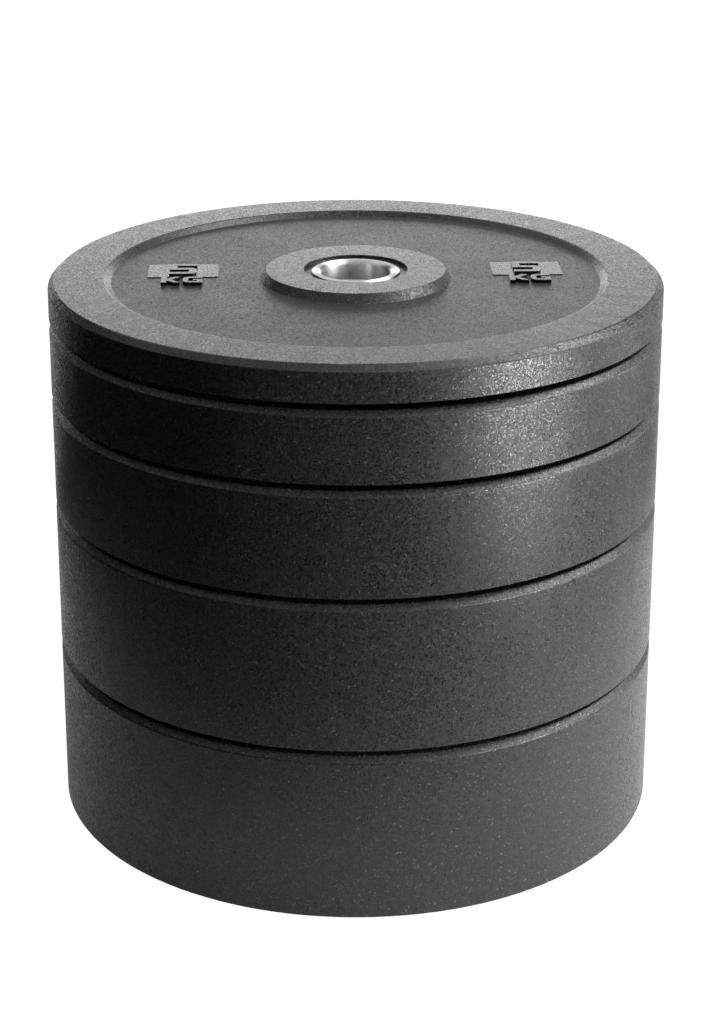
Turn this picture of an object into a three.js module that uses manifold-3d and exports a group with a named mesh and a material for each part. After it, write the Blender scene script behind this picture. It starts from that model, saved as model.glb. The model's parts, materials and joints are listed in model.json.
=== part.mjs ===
// A set of five crumb-rubber bumper plates, lying one on another on their hubs, the heaviest at the
// bottom. Millimetres, +Z up, with the origin in the middle of the face that the stack rests on.
// Each plate is a rubber body pressed round a steel insert. The insert is two flanged half sleeves
// that meet at the middle of the plate and clamp an anchor disc, which the rubber grips through holes.
import * as THREE from "three";
import { mergeVertices } from "three/addons/utils/BufferGeometryUtils.js";
import Module from "manifold-3d";

const wasm = await Module();
wasm.setup();

// Thickness of each plate over its two hub faces
const thicknessOf25 = 128;
const thicknessOf20 = 112;
const thicknessOf15 = 81;
const thicknessOf10 = 56;
const thicknessOf5 = 31;

// Rim: a flat ring outside a shallow web, bevelled at its upper edge and sharp at its lower one
const plateDiameter = 450;
const rimWidth = 41;
const rimBevel = 4.5;
const webDepth = 4;
const webSlopeRun = 5;

// Hub: a raised rubber boss that stands a little proud of the rim, so stacked rims don't touch
const hubProud = 2.5;
const hubFaceWidth = 28;
const hubBevelRun = 4.5;
const seatWidth = 5.5;
const seatDepth = 2.5;

// Steel insert: bore for a 50 mm bar sleeve, with a rounded way in at each end
const boreDiameter = 50.6;
const boreEntryRadius = 5.5;
const lipLand = 1.7;
const lipThickness = 4;
const lipDrop = 1.3;
const tubeWall = 4;
const spigotWall = 1.9;

// Anchor disc inside the rubber, and the gap between bonded rubber and steel
const anchorThickness = 3;
const anchorReach = 25.7;
const anchorHoleDiameter = 12;
const anchorHoles = 6;
const bondGap = 0.3;

// Raised marks on both faces: the plate's mass over the letters of its unit, on a thin plain tablet
const markPlaceShare = 0.53;
const tabletWidth = 52;
const tabletHeight = 34.7;
const tabletRise = 0.5;
const tabletLead = 19;
const digitWidth = 20;
const digitHeight = 27.3;
const digitSpace = 4;
const digitLead = 17;
const unitWidth = 30;
const unitHeight = 15.5;
const unitSpace = 1.4;
const unitLead = -12;
const markRise = 2.5;

// How far a joined piece reaches into the body that it stands on
const rootDepth = 1;

// Facets round a turned shape, and along the rounded entry of the bore
const rimSteps = 48;
const hubSteps = 24;
const holeSteps = 6;
const entrySteps = 3;

// Radii that follow from the sizes above, from the bore outwards
const boreRadius = boreDiameter / 2;
const spigotRadius = boreRadius + spigotWall;
const tubeRadius = boreRadius + tubeWall;
const entryRadius = boreRadius + boreEntryRadius;
const lipRadius = entryRadius + lipLand;
const anchorRadius = tubeRadius + anchorReach;
const anchorHoleCircle = (tubeRadius + anchorRadius) / 2;
const seatRadius = lipRadius + seatWidth;
const hubFaceRadius = seatRadius + hubFaceWidth;
const hubBaseRadius = hubFaceRadius + hubBevelRun;
const plateRadius = plateDiameter / 2;
const rimInnerRadius = plateRadius - rimWidth;
const webRadius = rimInnerRadius - webSlopeRun;
const markPlace = hubBaseRadius + (webRadius - hubBaseRadius) * markPlaceShare;

// Outlines of the raised characters, as shares of their width and height
const characterShares = {
  0: [[0, 0], [1, 0], [1, 1], [0, 1]],
  1: [[0.36, 0], [0.68, 0], [0.68, 1], [0.3, 1], [0.12, 0.8], [0.36, 0.8]],
  2: [
    [0, 0], [1, 0], [1, 0.2], [0.28, 0.2], [0.28, 0.41], [1, 0.41],
    [1, 1], [0, 1], [0, 0.8], [0.72, 0.8], [0.72, 0.6], [0, 0.6],
  ],
  5: [
    [0, 0], [1, 0], [1, 0.6], [0.28, 0.6], [0.28, 0.8], [1, 0.8],
    [1, 1], [0, 1], [0, 0.41], [0.72, 0.41], [0.72, 0.2], [0, 0.2],
  ],
  K: [
    [0, 0], [0.28, 0], [0.28, 0.36], [0.64, 0], [1, 0], [0.52, 0.51],
    [1, 1], [0.64, 1], [0.28, 0.65], [0.28, 1], [0, 1],
  ],
  G: [
    [0, 0], [1, 0], [1, 0.58], [0.52, 0.58], [0.52, 0.37], [0.72, 0.37],
    [0.72, 0.24], [0.28, 0.24], [0.28, 0.76], [1, 0.76], [1, 1], [0, 1],
  ],
};
const counterShares = { 0: [[0.28, 0.2], [0.28, 0.8], [0.72, 0.8], [0.72, 0.2]] };

const rubber = new THREE.MeshStandardMaterial({ color: 0x2b2b2c, roughness: 0.8, metalness: 0 });
const polishedSteel = new THREE.MeshStandardMaterial({ color: 0xc9c8c4, roughness: 0.22, metalness: 1 });
const plainSteel = new THREE.MeshStandardMaterial({ color: 0x8c8d8f, roughness: 0.5, metalness: 1 });

// A closed geometry as a solid, and back
function solidOf(geometry) {
  const bare = new THREE.BufferGeometry();
  bare.setAttribute("position", geometry.getAttribute("position"));
  bare.setIndex(geometry.index);
  const merged = mergeVertices(bare);
  return new wasm.Manifold(
    new wasm.Mesh({
      numProp: 3,
      vertProperties: merged.attributes.position.array,
      triVerts: new Uint32Array(merged.index.array),
    }),
  );
}

function geometryOf(solid) {
  const mesh = solid.getMesh();
  const geometry = new THREE.BufferGeometry();
  geometry.setAttribute("position", new THREE.BufferAttribute(mesh.vertProperties, mesh.numProp));
  geometry.setIndex(new THREE.BufferAttribute(mesh.triVerts, 1));
  return geometry;
}

// A profile of [radius, height] points turned about the Z axis
function turned(profile, steps) {
  const points = profile.map(([radius, height]) => new THREE.Vector2(radius, height));
  return new THREE.LatheGeometry(points, steps).rotateX(Math.PI / 2);
}

// A regular polygon about a centre, as a path
function polygon(radius, steps, centre) {
  const points = [];
  for (let i = 0; i < steps; i++) {
    const angle = (2 * Math.PI * i) / steps;
    points.push(new THREE.Vector2(radius, 0).rotateAround(new THREE.Vector2(), angle).add(centre));
  }
  return points;
}

function extruded(outline, holes, low, high) {
  const shape = new THREE.Shape(outline);
  shape.holes = holes.map((hole) => new THREE.Path(hole));
  const geometry = new THREE.ExtrudeGeometry(shape, { depth: high - low, bevelEnabled: false });
  geometry.translate(0, 0, low);
  return mergeVertices(geometry.deleteAttribute("normal").deleteAttribute("uv"));
}

function anchorHoleCentres() {
  return Array.from({ length: anchorHoles }, (_, i) =>
    new THREE.Vector2(anchorHoleCircle, 0).rotateAround(
      new THREE.Vector2(),
      (2 * Math.PI * i) / anchorHoles,
    ),
  );
}

// One character, centred on a point of the web, standing from low to high
function character(name, width, height, centre, low, high) {
  const place = ([across, up]) =>
    new THREE.Vector2((across - 0.5) * width + centre.x, (up - 0.5) * height + centre.y);
  const holes = counterShares[name] ? [counterShares[name].map(place)] : [];
  return extruded(characterShares[name].map(place), holes, low, high);
}

// The marks of one face, left and right of the hub, both read from the front. Heights are from the web.
function marks(kilograms, web) {
  const pieces = [];
  const row = (text, width, height, space, x, lead) => {
    const length = text.length * width + (text.length - 1) * space;
    [...text].forEach((name, i) => {
      const centre = new THREE.Vector2(x - length / 2 + width / 2 + i * (width + space), lead);
      pieces.push(character(name, width, height, centre, web - rootDepth, web + markRise));
    });
  };
  for (const x of [-markPlace, markPlace]) {
    const tablet = new THREE.BoxGeometry(tabletWidth, tabletHeight, tabletRise + rootDepth);
    tablet.translate(x, tabletLead, web + (tabletRise - rootDepth) / 2);
    pieces.push(tablet);
    row(String(kilograms), digitWidth, digitHeight, digitSpace, x, digitLead);
    row("KG", (unitWidth - unitSpace) / 2, unitHeight, unitSpace, x, unitLead);
  }
  return pieces;
}

// The rubber body, about its own middle: turned outside, less the room for the insert, with pegs
// through the anchor disc's holes, and the marks on both faces.
function rubberBody(kilograms, thickness) {
  const half = thickness / 2;
  const rim = half - hubProud;
  const web = rim - webDepth;
  const outside = [
    [0, -half],
    [hubFaceRadius, -half],
    [hubBaseRadius, -web],
    [webRadius, -web],
    [rimInnerRadius, -rim],
    [plateRadius, -rim],
    [plateRadius, rim - rimBevel],
    [plateRadius - rimBevel, rim],
    [rimInnerRadius, rim],
    [webRadius, web],
    [hubBaseRadius, web],
    [hubFaceRadius, half],
    [0, half],
  ];

  const seat = half - seatDepth;
  const pocket = half - lipDrop - lipThickness - bondGap;
  const slot = anchorThickness / 2 + bondGap;
  const past = half + seatDepth;
  const roomAbove = [
    [anchorRadius + bondGap, slot],
    [tubeRadius + bondGap, slot],
    [tubeRadius + bondGap, pocket],
    [lipRadius + bondGap, pocket],
    [lipRadius + bondGap, seat],
    [seatRadius, seat],
    [seatRadius, past],
    [0, past],
  ];
  const roomBelow = roomAbove.map(([radius, height]) => [radius, -height]).reverse();

  let body = solidOf(turned(outside, rimSteps));
  body = body.subtract(solidOf(turned([...roomBelow, ...roomAbove], hubSteps)));
  for (const centre of anchorHoleCentres()) {
    const peg = polygon(anchorHoleDiameter / 2 - bondGap, holeSteps, centre);
    body = body.add(solidOf(extruded(peg, [], -slot - rootDepth, slot + rootDepth)));
  }
  for (const piece of marks(kilograms, web)) {
    const mark = solidOf(piece);
    body = body.add(mark).add(solidOf(piece.clone().rotateX(Math.PI)));
  }
  return geometryOf(body);
}

// One half of the insert, above the middle of the plate: a spigot end that meets the other half, a
// shoulder that clamps the anchor disc, and a lip with a rounded way into the bore.
function insertHalf(thickness) {
  const top = thickness / 2 - lipDrop;
  const shoulder = anchorThickness / 2;
  const profile = [
    [boreRadius, 0],
    [spigotRadius, 0],
    [spigotRadius, shoulder],
    [tubeRadius, shoulder],
    [tubeRadius, top - lipThickness],
    [lipRadius, top - lipThickness],
    [lipRadius, top],
  ];
  for (let i = 0; i <= entrySteps; i++) {
    const turn = ((Math.PI / 2) * i) / entrySteps;
    profile.push([
      entryRadius - boreEntryRadius * Math.sin(turn),
      top - boreEntryRadius * (1 - Math.cos(turn)),
    ]);
  }
  profile.push(profile[0]);
  return turned(profile, hubSteps);
}

function anchorDisc() {
  const middle = new THREE.Vector2();
  const holes = anchorHoleCentres().map((centre) => polygon(anchorHoleDiameter / 2, holeSteps, centre));
  holes.push(polygon(spigotRadius + bondGap, hubSteps, middle));
  return extruded(
    polygon(anchorRadius, hubSteps, middle),
    holes,
    -anchorThickness / 2,
    anchorThickness / 2,
  );
}

function named(name, geometry, material) {
  const mesh = new THREE.Mesh(geometry, material);
  mesh.name = name;
  return mesh;
}

function plate(kilograms, thickness) {
  const label = String(kilograms).padStart(2, "0");
  const group = new THREE.Group();
  group.add(named(`rubber_body_${label}`, rubberBody(kilograms, thickness), rubber));
  group.add(named(`insert_upper_${label}`, insertHalf(thickness), polishedSteel));
  group.add(named(`insert_lower_${label}`, insertHalf(thickness).rotateX(Math.PI), polishedSteel));
  group.add(named(`anchor_disc_${label}`, anchorDisc(), plainSteel));
  return group;
}

// The stack, from the floor up: each plate's hub lies on the hub below it
const stack = new THREE.Group();
let level = 0;
for (const [kilograms, thickness] of [
  [25, thicknessOf25],
  [20, thicknessOf20],
  [15, thicknessOf15],
  [10, thicknessOf10],
  [5, thicknessOf5],
]) {
  const group = plate(kilograms, thickness);
  group.position.z = level + thickness / 2;
  stack.add(group);
  level += thickness;
}

export default stack;
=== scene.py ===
import json
import math

import bpy
import numpy as np
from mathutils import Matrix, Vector


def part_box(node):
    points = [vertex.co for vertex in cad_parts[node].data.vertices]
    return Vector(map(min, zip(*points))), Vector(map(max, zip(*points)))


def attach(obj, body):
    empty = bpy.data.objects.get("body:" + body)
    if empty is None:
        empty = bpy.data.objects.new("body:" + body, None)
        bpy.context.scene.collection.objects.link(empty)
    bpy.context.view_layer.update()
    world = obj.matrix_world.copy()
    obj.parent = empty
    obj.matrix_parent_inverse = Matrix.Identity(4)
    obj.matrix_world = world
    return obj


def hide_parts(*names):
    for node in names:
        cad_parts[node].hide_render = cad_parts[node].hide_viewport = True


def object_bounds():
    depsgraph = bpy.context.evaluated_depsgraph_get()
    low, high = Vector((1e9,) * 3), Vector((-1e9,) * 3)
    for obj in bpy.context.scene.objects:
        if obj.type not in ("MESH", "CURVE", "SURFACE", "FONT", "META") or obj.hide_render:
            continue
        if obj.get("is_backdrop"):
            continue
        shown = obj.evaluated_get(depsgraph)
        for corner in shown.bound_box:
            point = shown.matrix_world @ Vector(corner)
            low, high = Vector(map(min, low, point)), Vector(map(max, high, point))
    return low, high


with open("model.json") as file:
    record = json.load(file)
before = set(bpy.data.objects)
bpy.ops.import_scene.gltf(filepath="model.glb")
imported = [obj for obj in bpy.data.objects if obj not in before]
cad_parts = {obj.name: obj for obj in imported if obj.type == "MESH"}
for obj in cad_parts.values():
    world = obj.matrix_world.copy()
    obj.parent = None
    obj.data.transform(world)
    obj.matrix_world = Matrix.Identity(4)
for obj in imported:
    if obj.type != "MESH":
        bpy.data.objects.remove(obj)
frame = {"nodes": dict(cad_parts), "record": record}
cad_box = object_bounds()
MM = 0.001


# The set: five plates of one diameter, lying loose on one another, the heaviest at the bottom.
# Each is a rubber body moulded round a steel insert that an anchor disc holds. A plate's place
# and thickness come from the frame.
plates = []
for body in frame["record"]["behaviour"]["bodies"]:
    label = body.split("_")[1]
    low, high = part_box(f"rubber_body_{label}")
    plates.append({"body": body, "label": label, "low": low.z, "high": high.z, "radius": high.x})


# Anchor discs: flat rolled steel, one in the middle of each plate. They are clamped by the two
# halves of the insert and sealed in the rubber, which grips them through six holes.
DISC_COLOUR = (0.30, 0.30, 0.31, 1)
DISC_DARK_COLOUR = (0.21, 0.21, 0.217, 1)
DISC_ROUGHNESS = 0.5
MILL_GRAIN = 0.6 * MM
MILL_DEPTH = 0.02 * MM


def new_material(name):
    """A material with its Principled shader and Object coordinates."""
    material = bpy.data.materials.new(name)
    material.use_nodes = True
    nodes, links = material.node_tree.nodes, material.node_tree.links
    return material, nodes, links, nodes["Principled BSDF"], nodes.new("ShaderNodeTexCoord")


def bump(nodes, links, shader, height, depth):
    """Feeds a height, as a share of a depth in metres, to a shader's normal."""
    node = nodes.new("ShaderNodeBump")
    node.inputs["Strength"].default_value = 1
    node.inputs["Distance"].default_value = depth
    links.new(height, node.inputs["Height"])
    links.new(node.outputs["Normal"], shader.inputs["Normal"])


rolled_steel, nodes, links, shader, place = new_material("rolled steel")
shader.inputs["Metallic"].default_value = 1
grain = nodes.new("ShaderNodeTexNoise")
grain.inputs["Scale"].default_value = 1 / MILL_GRAIN
links.new(place.outputs["Object"], grain.inputs["Vector"])
shade = nodes.new("ShaderNodeMix")
shade.data_type = "RGBA"
shade.inputs["A"].default_value = DISC_DARK_COLOUR
shade.inputs["B"].default_value = DISC_COLOUR
links.new(grain.outputs["Fac"], shade.inputs["Factor"])
links.new(shade.outputs["Result"], shader.inputs["Base Color"])
shader.inputs["Roughness"].default_value = DISC_ROUGHNESS
bump(nodes, links, shader, grain.outputs["Fac"], MILL_DEPTH)

for plate in plates:
    disc = frame["nodes"][f"anchor_disc_{plate['label']}"]
    disc.data.materials.clear()
    disc.data.materials.append(rolled_steel)


# Inserts: two turned steel halves that meet in the middle of the plate. Each has a lip with a
# rounded way into the bore for a 50 mm bar sleeve. The faces are bright, with fine turning marks.
BORE_RADIUS = 25.3 * MM
ENTRY_RADIUS = 5.5 * MM
LIP_EDGE = 0.8 * MM
LIP_THICKNESS = 4 * MM
TUBE_WALL = 4 * MM
SPIGOT_WALL = 1.9 * MM
SHOULDER_HEIGHT = 1.5 * MM
INSERT_STEPS = 160
INSERT_ARC_STEPS = 12
ARC_STEPS = 6
ARC_MARGIN = 0.35 * MM
STRAIGHT = 1.56
LONGEST_CUT, LONGEST_MARGIN = 0.45, 0.1
STILL_WANDER_SIZE = 10 * MM
STEEL_COLOUR = (0.76, 0.76, 0.755, 1)
STEEL_ROUGHNESS = (0.36, 0.48)
STEEL_STRETCH = 0.95
QUARTER_TURN = 0.25
SMEAR_DENSITY = 90
TURNING_PITCH = 0.35 * MM
TURNING_DEPTH = 0.004 * MM


def rounded(corners, steps=ARC_STEPS):
    """The outline of corners (x, z, radius), each turned on an arc of its radius.

    A point is added a little way before and after each arc, to keep the flats flat when shaded.
    An arc is made smaller where its corner's sides are too short for it.
    """
    corners = [(np.array(c[:2]), c[2]) for c in corners]
    outline = []
    for i, (corner, radius) in enumerate(corners):
        before, after = corners[i - 1][0], corners[(i + 1) % len(corners)][0]
        back, on = before - corner, after - corner
        reach = min(np.linalg.norm(back), np.linalg.norm(on))
        back, on = back / np.linalg.norm(back), on / np.linalg.norm(on)
        half = math.acos(np.clip(back @ on, -1, 1)) / 2
        if radius == 0 or half > STRAIGHT:
            outline.append(corner)
            continue
        cut = min(radius / math.tan(half), LONGEST_CUT * reach)
        radius = cut * math.tan(half)
        middle = corner + (back + on) / np.linalg.norm(back + on) * radius / math.sin(half)
        start, end = corner + back * cut - middle, corner + on * cut - middle
        sweep = math.pi - 2 * half
        extra = min(ARC_MARGIN, LONGEST_MARGIN * reach)
        outline.append(corner + back * (cut + extra))
        for k in range(steps + 1):
            share = k / steps
            point = start * math.sin((1 - share) * sweep) + end * math.sin(share * sweep)
            outline.append(middle + point / math.sin(sweep))
        outline.append(corner + on * (cut + extra))
    return outline


def ring_tree():
    """Sweeps a closed profile, drawn in X and Z, round the Z axis. The surface may wander a little."""
    tree = bpy.data.node_groups.new("turned ring", "GeometryNodeTree")
    for name, kind in [
        ("Profile", "NodeSocketGeometry"),
        ("Sweep Radius", "NodeSocketFloat"),
        ("Steps", "NodeSocketInt"),
        ("Wander", "NodeSocketFloat"),
        ("Wander Size", "NodeSocketFloat"),
        ("Seed", "NodeSocketFloat"),
        ("Material", "NodeSocketMaterial"),
    ]:
        tree.interface.new_socket(name, in_out="INPUT", socket_type=kind)
    tree.interface.new_socket("Ring", in_out="OUTPUT", socket_type="NodeSocketGeometry")
    node, link = tree.nodes.new, tree.links.new
    given = node("NodeGroupInput")

    path = node("GeometryNodeCurvePrimitiveCircle")
    link(given.outputs["Steps"], path.inputs["Resolution"])
    link(given.outputs["Sweep Radius"], path.inputs["Radius"])
    profile = node("GeometryNodeMeshToCurve")
    link(given.outputs["Profile"], profile.inputs["Mesh"])
    sweep = node("GeometryNodeCurveToMesh")
    link(path.outputs["Curve"], sweep.inputs["Curve"])
    link(profile.outputs["Curve"], sweep.inputs["Profile Curve"])

    where = node("GeometryNodeInputPosition")
    size = node("ShaderNodeMath")
    size.operation = "DIVIDE"
    size.inputs[0].default_value = 1
    link(given.outputs["Wander Size"], size.inputs[1])
    noise = node("ShaderNodeTexNoise")
    noise.noise_dimensions = "4D"
    noise.inputs["Detail"].default_value = 2
    link(where.outputs["Position"], noise.inputs["Vector"])
    link(given.outputs["Seed"], noise.inputs["W"])
    link(size.outputs["Value"], noise.inputs["Scale"])
    amount = node("ShaderNodeMapRange")
    amount.inputs["From Min"].default_value = 0.25
    amount.inputs["From Max"].default_value = 0.75
    amount.inputs["To Min"].default_value = 0
    link(noise.outputs["Fac"], amount.inputs["Value"])
    inwards = node("ShaderNodeMath")
    inwards.operation = "MULTIPLY"
    inwards.inputs[1].default_value = -1
    link(given.outputs["Wander"], inwards.inputs[0])
    link(inwards.outputs["Value"], amount.inputs["To Max"])
    normal = node("GeometryNodeInputNormal")
    step = node("ShaderNodeVectorMath")
    step.operation = "SCALE"
    link(normal.outputs["Normal"], step.inputs["Vector"])
    link(amount.outputs["Result"], step.inputs["Scale"])
    move = node("GeometryNodeSetPosition")
    link(sweep.outputs["Mesh"], move.inputs["Geometry"])
    link(step.outputs["Vector"], move.inputs["Offset"])

    real = node("GeometryNodeRealizeInstances")
    link(move.outputs["Geometry"], real.inputs["Geometry"])
    finish = node("GeometryNodeSetMaterial")
    link(real.outputs["Geometry"], finish.inputs["Geometry"])
    link(given.outputs["Material"], finish.inputs["Material"])
    done = node("NodeGroupOutput")
    link(finish.outputs["Geometry"], done.inputs["Ring"])
    return tree


def applied(name, mesh, tree, **values):
    """A plain mesh object made by a tree from a mesh, with the tree's inputs set by their names."""
    source = bpy.data.objects.new(name + " source", mesh)
    bpy.context.scene.collection.objects.link(source)
    modifier = source.modifiers.new("tree", "NODES")
    modifier.node_group = tree
    for item in tree.interface.items_tree:
        key = item.name.lower().replace(" ", "_")
        if item.in_out == "INPUT" and key in values:
            modifier[item.identifier] = values[key]
    evaluated = source.evaluated_get(bpy.context.evaluated_depsgraph_get())
    made = bpy.data.objects.new(name, bpy.data.meshes.new_from_object(evaluated))
    made.data.name = name
    bpy.context.scene.collection.objects.link(made)
    bpy.data.objects.remove(source)
    return made


def turned(name, outline, material, steps, wander=0, wander_size=STILL_WANDER_SIZE, seed=0):
    """A ring swept from a closed outline of (radius, height) points."""
    sweep_radius = max(point[0] for point in outline)
    drawn = [(radius - sweep_radius, -height, 0) for radius, height in outline]
    profile = bpy.data.meshes.new(name)
    count = len(drawn)
    profile.from_pydata(drawn, [(i, (i + 1) % count) for i in range(count)], [])
    ring = applied(
        name, profile, turned_ring, sweep_radius=sweep_radius, steps=steps, wander=wander,
        wander_size=wander_size, seed=float(seed), material=material,
    )
    ring.data.shade_smooth()
    return ring


turned_ring = ring_tree()


def turning_marks_group():
    """Fine rings round the Z axis, as a lathe leaves them. Puts out a height and a wear."""
    group = bpy.data.node_groups.new("turning marks", "ShaderNodeTree")
    for name, kind in [("Vector", "NodeSocketVector"), ("Pitch", "NodeSocketFloat")]:
        group.interface.new_socket(name, in_out="INPUT", socket_type=kind)
    for name in ("Height", "Wear"):
        group.interface.new_socket(name, in_out="OUTPUT", socket_type="NodeSocketFloat")
    node, link = group.nodes.new, group.links.new
    given, done = node("NodeGroupInput"), node("NodeGroupOutput")
    split = node("ShaderNodeSeparateXYZ")
    link(given.outputs["Vector"], split.inputs["Vector"])
    flat = node("ShaderNodeCombineXYZ")
    link(split.outputs["X"], flat.inputs["X"])
    link(split.outputs["Y"], flat.inputs["Y"])
    radius = node("ShaderNodeVectorMath")
    radius.operation = "LENGTH"
    link(flat.outputs["Vector"], radius.inputs[0])
    section = node("ShaderNodeCombineXYZ")
    link(radius.outputs["Value"], section.inputs["X"])
    link(split.outputs["Z"], section.inputs["Y"])
    scale = node("ShaderNodeMath")
    scale.operation = "DIVIDE"
    scale.inputs[0].default_value = 1
    link(given.outputs["Pitch"], scale.inputs[1])
    rings = node("ShaderNodeTexNoise")
    rings.inputs["Detail"].default_value = 3
    rings.inputs["Roughness"].default_value = 0.7
    link(section.outputs["Vector"], rings.inputs["Vector"])
    link(scale.outputs["Value"], rings.inputs["Scale"])
    link(rings.outputs["Fac"], done.inputs["Height"])
    smears = node("ShaderNodeTexNoise")
    smears.inputs["Scale"].default_value = SMEAR_DENSITY
    smears.inputs["Detail"].default_value = 4
    link(given.outputs["Vector"], smears.inputs["Vector"])
    link(smears.outputs["Fac"], done.inputs["Wear"])
    return group


turned_steel, nodes, links, shader, place = new_material("turned steel")
shader.inputs["Metallic"].default_value = 1
shader.inputs["Base Color"].default_value = STEEL_COLOUR
marks = nodes.new("ShaderNodeGroup")
marks.node_tree = turning_marks_group()
marks.inputs["Pitch"].default_value = TURNING_PITCH
links.new(place.outputs["Object"], marks.inputs["Vector"])
gloss = nodes.new("ShaderNodeMapRange")
gloss.inputs["To Min"].default_value, gloss.inputs["To Max"].default_value = STEEL_ROUGHNESS
links.new(marks.outputs["Wear"], gloss.inputs["Value"])
links.new(gloss.outputs["Result"], shader.inputs["Roughness"])
around = nodes.new("ShaderNodeVectorMath")
around.operation = "CROSS_PRODUCT"
around.inputs[0].default_value = (0, 0, 1)
links.new(place.outputs["Object"], around.inputs[1])
links.new(around.outputs["Vector"], shader.inputs["Tangent"])
shader.inputs["Anisotropic"].default_value = STEEL_STRETCH
shader.inputs["Anisotropic Rotation"].default_value = QUARTER_TURN
bump(nodes, links, shader, marks.outputs["Height"], TURNING_DEPTH)

for plate in plates:
    label = plate["label"]
    middle = (plate["low"] + plate["high"]) / 2
    for half, sign in (("upper", 1), ("lower", -1)):
        low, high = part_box(f"insert_{half}_{label}")
        lip_radius = high.x
        top = high.z - middle if sign > 0 else middle - low.z
        outline = rounded([
            (BORE_RADIUS, 0, 0),
            (BORE_RADIUS + SPIGOT_WALL, 0, 0),
            (BORE_RADIUS + SPIGOT_WALL, SHOULDER_HEIGHT, 0),
            (BORE_RADIUS + TUBE_WALL, SHOULDER_HEIGHT, 0),
            (BORE_RADIUS + TUBE_WALL, top - LIP_THICKNESS, 0),
            (lip_radius, top - LIP_THICKNESS, LIP_EDGE / 2),
            (lip_radius, top, LIP_EDGE),
            (BORE_RADIUS, top, ENTRY_RADIUS),
        ], steps=INSERT_ARC_STEPS)
        outline = [(radius, middle + sign * height) for radius, height in outline]
        # The order of the outline turns the faces outwards
        if sign > 0:
            outline.reverse()
        insert = turned(f"steel_insert_{half}_{label}", outline, turned_steel, INSERT_STEPS)
        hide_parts(f"insert_{half}_{label}")
        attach(insert, plate["body"])


# Rubber bodies: black crumb rubber, pressed hot round the insert. The rim is flat and bevelled
# at its upper edge, the web lies lower, and the hub boss stands proud to carry the next plate.
RIM_WIDTH = 41 * MM
RIM_BEVEL = 4.5 * MM
WEB_DEPTH = 4 * MM
WEB_SLOPE = 5 * MM
HUB_PROUD = 2.5 * MM
HUB_FACE_RADIUS = 66 * MM
HUB_BEVEL = 4.5 * MM
SEAT_RADIUS = 38 * MM
SEAT_DEPTH = 2.5 * MM
INSERT_GAP = 0.3 * MM
LIP_DROP = 1.3 * MM
MOULD_EDGE = 0.7 * MM
LIP_SEAT_EDGE = 0.3 * MM
SEAT_FLOOR_EDGE = 0.5 * MM
HUB_FOOT_EDGE = 1.2 * MM
WEB_FOOT_EDGE = 1.6 * MM
RIM_EDGE = 2 * MM
RIM_CROWN = 3 * MM
RIM_LOWER_EDGE = 0.3 * MM
FACE_TURN = 0.75
BODY_STEPS = 600
BODY_WANDER = 0.16 * MM
WANDER_SIZE = 9 * MM
RUBBER_COLOUR = (0.006, 0.006, 0.0063, 1)
CRUMB_COLOUR = (0.05, 0.05, 0.051, 1)
CRUMB_SIZE = 0.88 * MM
CRUMB_RELIEF = 0.21 * MM
MOULDED_RELIEF = 0.3 * CRUMB_RELIEF
PRESSED_RELIEF = 0.4 * CRUMB_RELIEF
WALL_ROUGHNESS = (0.20, 0.72)
RIM_ROUGHNESS = (0.17, 0.47)
WEB_ROUGHNESS = (0.28, 0.68)
HUB_ROUGHNESS = (0.15, 0.40)
DULLNESS_RANGE = (0.1, 1.15)

# The grain: how much of it is pale crumbs, pits, tilted facets and dust
PALE_LIMIT, PALE_STRENGTH, GREY_CURVE = 0.985, 4.0, 2.0
PIT_LIMIT, PIT_DEPTH, PIT_NARROWING = 0.85, -0.5, 2.0
FACET_SHARE, DUST_SHARE, DUST_FINENESS = 0.7, 0.7, 1.15
PATCH_DENSITY, PATCH_SHARE, DULLNESS_CURVE = 28, 0.3, 1.6


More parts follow.
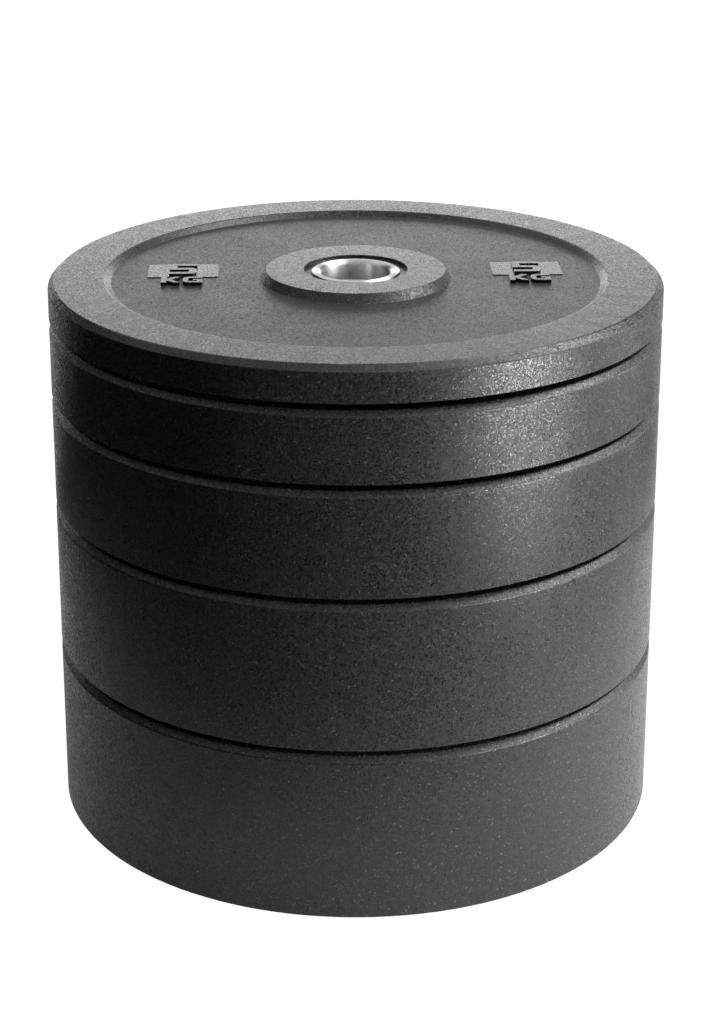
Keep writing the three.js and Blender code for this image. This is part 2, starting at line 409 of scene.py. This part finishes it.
def crumb_group():
    """The grain of pressed rubber crumbs. Puts out a tint, a height and a dullness."""
    group = bpy.data.node_groups.new("rubber crumbs", "ShaderNodeTree")
    for name, kind in [("Vector", "NodeSocketVector"), ("Crumb Size", "NodeSocketFloat")]:
        group.interface.new_socket(name, in_out="INPUT", socket_type=kind)
    for name in ("Tint", "Height", "Dullness"):
        group.interface.new_socket(name, in_out="OUTPUT", socket_type="NodeSocketFloat")
    node, link = group.nodes.new, group.links.new
    given, done = node("NodeGroupInput"), node("NodeGroupOutput")

    def calculate(operation, *values):
        step = node("ShaderNodeMath")
        step.operation = operation
        for socket, value in zip(step.inputs, values):
            if hasattr(value, "links"):
                link(value, socket)
            else:
                socket.default_value = value
        return step.outputs["Value"]

    def combine(operation, first, second):
        step = node("ShaderNodeVectorMath")
        step.operation = operation
        link(first, step.inputs[0])
        if hasattr(second, "links"):
            link(second, step.inputs[1])
        else:
            step.inputs[1].default_value = second
        return step

    density = calculate("DIVIDE", 1.0, given.outputs["Crumb Size"])
    crumbs = node("ShaderNodeTexVoronoi")
    link(given.outputs["Vector"], crumbs.inputs["Vector"])
    link(density, crumbs.inputs["Scale"])
    lot = node("ShaderNodeSeparateColor")
    link(crumbs.outputs["Color"], lot.inputs["Color"])
    dust = node("ShaderNodeTexNoise")
    dust.inputs["Detail"].default_value = 3
    dust.inputs["Roughness"].default_value = 0.7
    link(given.outputs["Vector"], dust.inputs["Vector"])
    link(calculate("MULTIPLY", density, DUST_FINENESS), dust.inputs["Scale"])
    patches = node("ShaderNodeTexNoise")
    patches.inputs["Detail"].default_value = 3
    patches.inputs["Scale"].default_value = PATCH_DENSITY
    link(given.outputs["Vector"], patches.inputs["Vector"])

    pale = calculate("GREATER_THAN", lot.outputs["Red"], PALE_LIMIT)
    grey = calculate("POWER", lot.outputs["Green"], GREY_CURVE)
    tint = calculate("ADD", grey, calculate("MULTIPLY", pale, PALE_STRENGTH))
    link(calculate("MULTIPLY", tint, dust.outputs["Fac"]), done.inputs["Tint"])
    pitted = calculate("GREATER_THAN", lot.outputs["Blue"], PIT_LIMIT)
    pit = calculate("MULTIPLY", pitted, PIT_DEPTH)
    far = calculate("MULTIPLY", crumbs.outputs["Distance"], PIT_NARROWING)
    near = calculate("SUBTRACT", 1.0, far)
    pit = calculate("MULTIPLY", pit, calculate("MAXIMUM", near, 0.0))
    lean = combine("SUBTRACT", crumbs.outputs["Color"], (0.5, 0.5, 0.5)).outputs["Vector"]
    within = combine("SUBTRACT", given.outputs["Vector"], crumbs.outputs["Position"])
    facet = combine("DOT_PRODUCT", within.outputs["Vector"], lean).outputs["Value"]
    facet = calculate("MULTIPLY", calculate("MULTIPLY", facet, density), FACET_SHARE)
    grain = calculate("ADD", calculate("MULTIPLY", dust.outputs["Fac"], DUST_SHARE), facet)
    link(calculate("ADD", grain, pit), done.inputs["Height"])
    rough = calculate("POWER", lot.outputs["Blue"], DULLNESS_CURVE)
    spread = calculate("ADD", calculate("MULTIPLY", patches.outputs["Fac"], PATCH_SHARE), rough)
    link(spread, done.inputs["Dullness"])
    return group


rubber_crumbs = crumb_group()


def crumb_rubber(name, crumb_size, relief, roughness):
    """Crumb rubber with its own crumb size, depth of relief and range of roughness."""
    material, nodes, links, shader, place = new_material(name)
    crumbs = nodes.new("ShaderNodeGroup")
    crumbs.node_tree = rubber_crumbs
    crumbs.inputs["Crumb Size"].default_value = crumb_size
    links.new(place.outputs["Object"], crumbs.inputs["Vector"])
    colour = nodes.new("ShaderNodeMix")
    colour.data_type = "RGBA"
    colour.inputs["A"].default_value = RUBBER_COLOUR
    colour.inputs["B"].default_value = CRUMB_COLOUR
    colour.clamp_factor = False
    links.new(crumbs.outputs["Tint"], colour.inputs["Factor"])
    links.new(colour.outputs["Result"], shader.inputs["Base Color"])
    gloss = nodes.new("ShaderNodeMapRange")
    gloss.inputs["From Min"].default_value, gloss.inputs["From Max"].default_value = DULLNESS_RANGE
    gloss.inputs["To Min"].default_value, gloss.inputs["To Max"].default_value = roughness
    links.new(crumbs.outputs["Dullness"], gloss.inputs["Value"])
    links.new(gloss.outputs["Result"], shader.inputs["Roughness"])
    bump(nodes, links, shader, crumbs.outputs["Height"], relief)
    return material


rubber = crumb_rubber("crumb rubber", CRUMB_SIZE, CRUMB_RELIEF, WALL_ROUGHNESS)
rim_rubber = crumb_rubber("moulded rim rubber", CRUMB_SIZE, MOULDED_RELIEF, RIM_ROUGHNESS)
web_rubber = crumb_rubber("moulded web rubber", CRUMB_SIZE, MOULDED_RELIEF, WEB_ROUGHNESS)
hub_rubber = crumb_rubber("pressed hub rubber", CRUMB_SIZE, PRESSED_RELIEF, HUB_ROUGHNESS)

for number, plate in enumerate(plates):
    label, radius = plate["label"], plate["radius"]
    middle = (plate["low"] + plate["high"]) / 2
    half = plate["high"] - middle
    rim = half - HUB_PROUD
    web = rim - WEB_DEPTH
    rim_inner = radius - RIM_WIDTH
    lip_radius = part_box(f"insert_upper_{label}")[1].x + INSERT_GAP
    disc_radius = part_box(f"anchor_disc_{label}")[1].x + INSERT_GAP
    tube_radius = BORE_RADIUS + TUBE_WALL + INSERT_GAP
    pocket = half - LIP_DROP - LIP_THICKNESS - INSERT_GAP
    slot = SHOULDER_HEIGHT + INSERT_GAP
    profile = [
        (disc_radius, slot, 0),
        (tube_radius, slot, 0),
        (tube_radius, pocket, 0),
        (lip_radius, pocket, 0),
        (lip_radius, half - SEAT_DEPTH, LIP_SEAT_EDGE),
        (SEAT_RADIUS, half - SEAT_DEPTH, SEAT_FLOOR_EDGE),
        (SEAT_RADIUS, half, MOULD_EDGE),
        (HUB_FACE_RADIUS, half, MOULD_EDGE),
        (HUB_FACE_RADIUS + HUB_BEVEL, web, HUB_FOOT_EDGE),
        (rim_inner - WEB_SLOPE, web, WEB_FOOT_EDGE),
        (rim_inner, rim, RIM_CROWN),
    ]
    bevel = [(radius - RIM_BEVEL, rim, RIM_EDGE), (radius, rim - RIM_BEVEL, RIM_EDGE)]
    upper = profile + bevel
    lower = [(radius, -rim, RIM_LOWER_EDGE)] + [(x, -z, r) for x, z, r in reversed(profile)]
    outline = [(x, middle + z) for x, z in rounded(upper + lower)]
    body = turned(
        f"rubber_plate_{label}", outline, rubber, BODY_STEPS, BODY_WANDER, WANDER_SIZE, number,
    )
    zones = [(HUB_FACE_RADIUS, hub_rubber), (rim_inner - WEB_SLOPE, web_rubber), (radius, rim_rubber)]
    for reach, finish in zones:
        body.data.materials.append(finish)
    for face in body.data.polygons:
        if abs(face.normal.z) > FACE_TURN:
            inside = [face.center.xy.length < reach for reach, finish in zones]
            face.material_index = 1 + inside.index(True)
    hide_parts(f"rubber_body_{label}")
    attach(body, plate["body"])


# Raised marks: the plate's mass over the letters of its unit, on both faces and both sides of
# the hub, moulded with the body. They stand on the web, with a thin bare tablet behind the
# numerals. Their edges are a little rounded, as rubber leaves a mould.
MARK_PLACE = 127.2 * MM
TABLET_SIZE = (52 * MM, 34.7 * MM)
TABLET_RISE = 0.5 * MM
TABLET_LEAD = 19 * MM
TABLET_CORNER = 1.5 * MM
TABLET_EDGE = 0.15 * MM
DIGIT_SIZE = (20 * MM, 27.3 * MM)
DIGIT_SPACE = 4 * MM
DIGIT_LEAD = 17 * MM
LETTER_SIZE = (14.3 * MM, 15.5 * MM)
LETTER_SPACE = 1.4 * MM
LETTER_LEAD = -12 * MM
MARK_RISE = 2.5 * MM
MARK_ROOT = 0.5 * MM
MARK_EDGE = 0.35 * MM
MARK_EDGE_STEPS = 2
MARK_GRAIN = 0.9 * MM
MARK_RELIEF = 0.05 * MM
MARK_ROUGHNESS = (0.08, 0.3)
SHARP, TIGHT, WIDE = 0.4 * MM, 1.5 * MM, 5 * MM

# The outlines of each character: corners as shares of its width and height, with their radii
CHARACTERS = {
    "0": [
        [(0, 0, WIDE), (1, 0, WIDE), (1, 1, WIDE), (0, 1, WIDE)],
        [(0.28, 0.2, TIGHT), (0.28, 0.8, TIGHT), (0.72, 0.8, TIGHT), (0.72, 0.2, TIGHT)],
    ],
    "1": [[
        (0.36, 0, SHARP), (0.68, 0, SHARP), (0.68, 1, SHARP), (0.3, 1, SHARP),
        (0.12, 0.8, SHARP), (0.36, 0.8, SHARP),
    ]],
    "2": [[
        (0, 0, SHARP), (1, 0, SHARP), (1, 0.2, SHARP), (0.28, 0.2, SHARP), (0.28, 0.41, TIGHT),
        (1, 0.41, WIDE), (1, 1, WIDE), (0, 1, WIDE), (0, 0.8, SHARP), (0.72, 0.8, TIGHT),
        (0.72, 0.6, TIGHT), (0, 0.6, WIDE),
    ]],
    "5": [[
        (0, 0, SHARP), (1, 0, WIDE), (1, 0.6, WIDE), (0.28, 0.6, SHARP), (0.28, 0.8, SHARP),
        (1, 0.8, SHARP), (1, 1, SHARP), (0, 1, SHARP), (0, 0.41, SHARP), (0.72, 0.41, TIGHT),
        (0.72, 0.2, TIGHT), (0, 0.2, SHARP),
    ]],
    "K": [[
        (0, 0, SHARP), (0.28, 0, SHARP), (0.28, 0.36, SHARP), (0.64, 0, SHARP), (1, 0, SHARP),
        (0.52, 0.51, SHARP), (1, 1, SHARP), (0.64, 1, SHARP), (0.28, 0.65, SHARP),
        (0.28, 1, SHARP), (0, 1, SHARP),
    ]],
    "G": [[
        (0, 0, WIDE), (1, 0, SHARP), (1, 0.58, SHARP), (0.52, 0.58, SHARP), (0.52, 0.37, SHARP),
        (0.72, 0.37, SHARP), (0.72, 0.24, SHARP), (0.28, 0.24, TIGHT), (0.28, 0.76, TIGHT),
        (1, 0.76, SHARP), (1, 1, SHARP), (0, 1, WIDE),
    ]],
}

marks_rubber = crumb_rubber("moulded marks", MARK_GRAIN, MARK_RELIEF, MARK_ROUGHNESS)


def raised(name, outlines, size, rise, edge):
    """The points and faces of flat outlines, centred and standing on z = 0 with rounded edges."""
    curve = bpy.data.curves.new(name, "CURVE")
    curve.dimensions, curve.fill_mode = "2D", "BOTH"
    curve.extrude = (rise + MARK_ROOT) / 2 - edge
    curve.bevel_depth, curve.bevel_resolution, curve.offset = edge, MARK_EDGE_STEPS, -edge
    for corners in outlines:
        placed = [((x - 0.5) * size[0], (y - 0.5) * size[1], radius) for x, y, radius in corners]
        points = rounded(placed)
        spline = curve.splines.new("POLY")
        spline.points.add(len(points) - 1)
        spline.use_cyclic_u = True
        for point, (x, y) in zip(spline.points, points):
            point.co = (x, y, 0, 1)
    source = bpy.data.objects.new(name, curve)
    bpy.context.scene.collection.objects.link(source)
    evaluated = source.evaluated_get(bpy.context.evaluated_depsgraph_get())
    mesh = bpy.data.meshes.new_from_object(evaluated)
    bpy.data.objects.remove(source)
    lift = (rise - MARK_ROOT) / 2
    points = [(v.co.x, v.co.y, v.co.z + lift) for v in mesh.vertices]
    return points, [tuple(face.vertices) for face in mesh.polygons]


def text_row(text, size, space, x, y):
    """The characters of a word, side by side and centred on a point, each with its place."""
    pitch = size[0] + space
    start = x - (len(text) - 1) * pitch / 2
    for i, name in enumerate(text):
        yield raised(name, CHARACTERS[name], size, MARK_RISE, MARK_EDGE), start + i * pitch, y


def mark_rows(text, x):
    """The tablet, the numerals and the unit of one side of the hub."""
    square = [(0, 0), (1, 0), (1, 1), (0, 1)]
    corners = [(*corner, TABLET_CORNER) for corner in square]
    yield raised("tablet", [corners], TABLET_SIZE, TABLET_RISE, TABLET_EDGE), x, TABLET_LEAD
    yield from text_row(text, DIGIT_SIZE, DIGIT_SPACE, x, DIGIT_LEAD)
    yield from text_row("KG", LETTER_SIZE, LETTER_SPACE, x, LETTER_LEAD)


for plate in plates:
    label = plate["label"]
    middle = (plate["low"] + plate["high"]) / 2
    web = plate["high"] - HUB_PROUD - WEB_DEPTH - middle
    points, faces = [], []
    for place in (-MARK_PLACE, MARK_PLACE):
        for (piece_points, piece_faces), across, along in mark_rows(label.lstrip("0"), place):
            for side in (1, -1):
                start = len(points)
                points += [
                    (x + across, side * (y + along), middle + side * (web + z))
                    for x, y, z in piece_points
                ]
                faces += [tuple(start + i for i in face) for face in piece_faces]
    mesh = bpy.data.meshes.new(f"raised_marks_{label}")
    mesh.from_pydata(points, [], faces)
    mesh.materials.append(marks_rubber)
    mark = bpy.data.objects.new(mesh.name, mesh)
    bpy.context.scene.collection.objects.link(mark)
    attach(mark, plate["body"])


# Studio: a white floor and surround, black cards and a black cloth round the stack that keep its
# near walls dark, and five lamps, each for one highlight. The camera stands where the photograph
# was taken from.
FLOOR_REACH = 12
FLOOR_COLOUR = (0.8, 0.8, 0.8, 1)
FLOOR_ROUGHNESS = 0.9
FLOOR_GLOW = 1.17
FLOOR_SHOWN, FLOOR_MIRRORED = 0.85, 0.3
WHITE = (1, 1, 1, 1)
AMBIENT = 0.35

# How bright the surround is, by the upward share of the direction
SURROUND = ((0.2, 0.9), (0.3, 0.42), (0.45, 0.42), (0.62, 0.85), (0.86, 0.85), (0.94, 0.45))

# Cards and cloth, in degrees round the stack and in metres
CARD_COLOUR = (0.004, 0.004, 0.004, 1)
CARD_ARC = (144, 314)
CARD_DISTANCE = 1.35
CARD_HEIGHTS = (0.005, 1.2)
SIDE_CARD_ARCS = ((115, 147), (18, 66))
SIDE_CARD_HEIGHTS = (0.59, 1.4)
CLOTH_ARC = (141, 410)
CLOTH_REACH = 4
CLOTH_OPENING = 0.62
CLOTH_CENTRE = (0.07, 0.17)
CLOTH_HEIGHT = 0.004
STEP_DEGREES = 8

# Each lamp: its name, place, aim, size and power
LAMPS = [
    ("key strip", (0.85, -0.62, 0.28), (0, 0, 0.28), (0.38, 0.22), 13),
    ("right strip", (1.03, 0.22, 0.38), (0, 0, 0.38), (0.3, 0.6), 3),
    ("rear softbox", (0, 3, 0.86), (0, 0, 0.4), (4.0, 0.82), 18),
    ("right softbox", (0.75, 0.15, 1.9), (0, 0, 0.4), (1.8, 0.5), 15),
    ("bevel light", (1.19, 0, 1.31), (0, 0, 0.2), (0.6, 0.5), 20),
]

CAMERA_AIM = 0.3420
CAMERA_DISTANCE = 1.72
CAMERA_ELEVATION = math.radians(17.69)
CAMERA_AZIMUTH = math.radians(-1.6)
FRAME_WIDTH, FRAME_HEIGHT = 721, 1024
FOCAL_PIXELS = 2314.4
AXIS_PIXEL_X, AXIS_PIXEL_Y = 355.7, 354.0
SENSOR = 36


def staged(name, points, faces, material):
    """A stage object: part of the studio, and not of the plates."""
    mesh = bpy.data.meshes.new(name)
    mesh.from_pydata(points, [], faces)
    mesh.materials.append(material)
    thing = bpy.data.objects.new(name, mesh)
    bpy.context.scene.collection.objects.link(thing)
    thing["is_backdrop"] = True
    return thing


def lamp(name, place, target, size, power):
    """A soft area lamp that faces a target."""
    light = bpy.data.lights.new(name, "AREA")
    light.shape = "RECTANGLE"
    light.size, light.size_y = size
    light.energy = power
    thing = bpy.data.objects.new(name, light)
    thing.location = place
    direction = Vector(target) - Vector(place)
    thing.rotation_euler = direction.to_track_quat("-Z", "Y").to_euler()
    bpy.context.scene.collection.objects.link(thing)


floor_white, nodes, links, shader, place = new_material("white floor")
shader.inputs["Base Color"].default_value = FLOOR_COLOUR
shader.inputs["Roughness"].default_value = FLOOR_ROUGHNESS
rays = nodes.new("ShaderNodeLightPath")
glow = nodes.new("ShaderNodeEmission")
glow.inputs["Strength"].default_value = FLOOR_GLOW
blend = nodes.new("ShaderNodeMixShader")
mirrored = nodes.new("ShaderNodeMath")
mirrored.operation = "MAXIMUM"
dimmed = nodes.new("ShaderNodeMath")
dimmed.operation = "MULTIPLY"
dimmed.inputs[1].default_value = FLOOR_MIRRORED
shown = nodes.new("ShaderNodeMath")
shown.operation = "MULTIPLY"
shown.inputs[1].default_value = FLOOR_SHOWN
share = nodes.new("ShaderNodeMath")
share.operation = "MAXIMUM"
links.new(rays.outputs["Is Glossy Ray"], mirrored.inputs[0])
links.new(rays.outputs["Is Transmission Ray"], mirrored.inputs[1])
links.new(mirrored.outputs["Value"], dimmed.inputs[0])
links.new(rays.outputs["Is Camera Ray"], shown.inputs[0])
links.new(shown.outputs["Value"], share.inputs[0])
links.new(dimmed.outputs["Value"], share.inputs[1])
links.new(share.outputs["Value"], blend.inputs["Fac"])
links.new(shader.outputs["BSDF"], blend.inputs[1])
links.new(glow.outputs["Emission"], blend.inputs[2])
links.new(blend.outputs["Shader"], nodes["Material Output"].inputs["Surface"])
staged(
    "floor",
    [(x * FLOOR_REACH, y * FLOOR_REACH, 0) for x, y in ((-1, -1), (1, -1), (1, 1), (-1, 1))],
    [(0, 1, 2, 3)],
    floor_white,
)

world = bpy.data.worlds.new("white surround")
bpy.context.scene.world = world
world.use_nodes = True
nodes, links = world.node_tree.nodes, world.node_tree.links
ambient, backdrop = nodes["Background"], nodes.new("ShaderNodeBackground")
ambient.inputs["Strength"].default_value = AMBIENT
way = nodes.new("ShaderNodeTexCoord")
height = nodes.new("ShaderNodeSeparateXYZ")
links.new(way.outputs["Generated"], height.inputs["Vector"])
fade = nodes.new("ShaderNodeValToRGB")
for stop, strength in SURROUND:
    element = fade.color_ramp.elements.new(stop)
    element.color = (strength, strength, strength, 1)
for end in (0, -1):
    fade.color_ramp.elements.remove(fade.color_ramp.elements[end])
links.new(height.outputs["Z"], fade.inputs["Fac"])
links.new(fade.outputs["Color"], backdrop.inputs["Strength"])
backdrop.inputs["Color"].default_value = WHITE
ambient.inputs["Color"].default_value = WHITE
rays = nodes.new("ShaderNodeLightPath")
shown = nodes.new("ShaderNodeMath")
shown.operation = "MAXIMUM"
also = nodes.new("ShaderNodeMath")
also.operation = "MAXIMUM"
blend = nodes.new("ShaderNodeMixShader")
links.new(rays.outputs["Is Camera Ray"], shown.inputs[0])
links.new(rays.outputs["Is Glossy Ray"], shown.inputs[1])
links.new(shown.outputs["Value"], also.inputs[0])
links.new(rays.outputs["Is Transmission Ray"], also.inputs[1])
links.new(also.outputs["Value"], blend.inputs["Fac"])
links.new(ambient.outputs["Background"], blend.inputs[1])
links.new(backdrop.outputs["Background"], blend.inputs[2])
links.new(blend.outputs["Shader"], nodes["World Output"].inputs["Surface"])

card_black, nodes, links, shader, place = new_material("black card")
shader.inputs["Base Color"].default_value = CARD_COLOUR
shader.inputs["Roughness"].default_value = 1
shader.inputs["Specular IOR Level"].default_value = 0


def arc(degrees, radius, height, centre=(0, 0)):
    """Points on an arc round a centre, at a height."""
    steps = range(degrees[0], degrees[1] + 1, STEP_DEGREES)
    turns = [math.radians(step) for step in steps]
    return [
        (centre[0] + math.cos(turn) * radius, centre[1] + math.sin(turn) * radius, height)
        for turn in turns
    ]


def band(name, first, second):
    """A stage sheet between two rows of points, which the camera doesn't see."""
    count = len(first)
    faces = [(i, i + 1, i + 1 + count, i + count) for i in range(count - 1)]
    sheet = staged(name, first + second, faces, card_black)
    sheet.visible_camera = False


band("black cards", *[arc(CARD_ARC, CARD_DISTANCE, height) for height in CARD_HEIGHTS])
for side in SIDE_CARD_ARCS:
    band("side card", *[arc(side, CARD_DISTANCE, height) for height in SIDE_CARD_HEIGHTS])
band(
    "black cloth",
    arc(CLOTH_ARC, CLOTH_OPENING, CLOTH_HEIGHT, CLOTH_CENTRE),
    arc(CLOTH_ARC, CLOTH_REACH, CLOTH_HEIGHT),
)
for each_lamp in LAMPS:
    lamp(*each_lamp)

camera_data = bpy.data.cameras.new("camera")
camera_data.lens = FOCAL_PIXELS * SENSOR / FRAME_HEIGHT
camera_data.sensor_width = SENSOR
camera_data.shift_x = (FRAME_WIDTH / 2 - AXIS_PIXEL_X) / FRAME_HEIGHT
camera_data.shift_y = (AXIS_PIXEL_Y - FRAME_HEIGHT / 2) / FRAME_HEIGHT
camera = bpy.data.objects.new("camera", camera_data)
level = CAMERA_DISTANCE * math.cos(CAMERA_ELEVATION)
camera.location = (
    math.sin(CAMERA_AZIMUTH) * level,
    -math.cos(CAMERA_AZIMUTH) * level,
    CAMERA_AIM + CAMERA_DISTANCE * math.sin(CAMERA_ELEVATION),
)
camera.rotation_euler = (math.pi / 2 - CAMERA_ELEVATION, 0, CAMERA_AZIMUTH)
bpy.context.scene.collection.objects.link(camera)
bpy.context.scene.camera = camera
bpy.context.scene.view_settings.view_transform = "Standard"

boxes = {"cad": cad_box, "visual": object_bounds()}
{name: [list(corner) for corner in box] for name, box in boxes.items()}
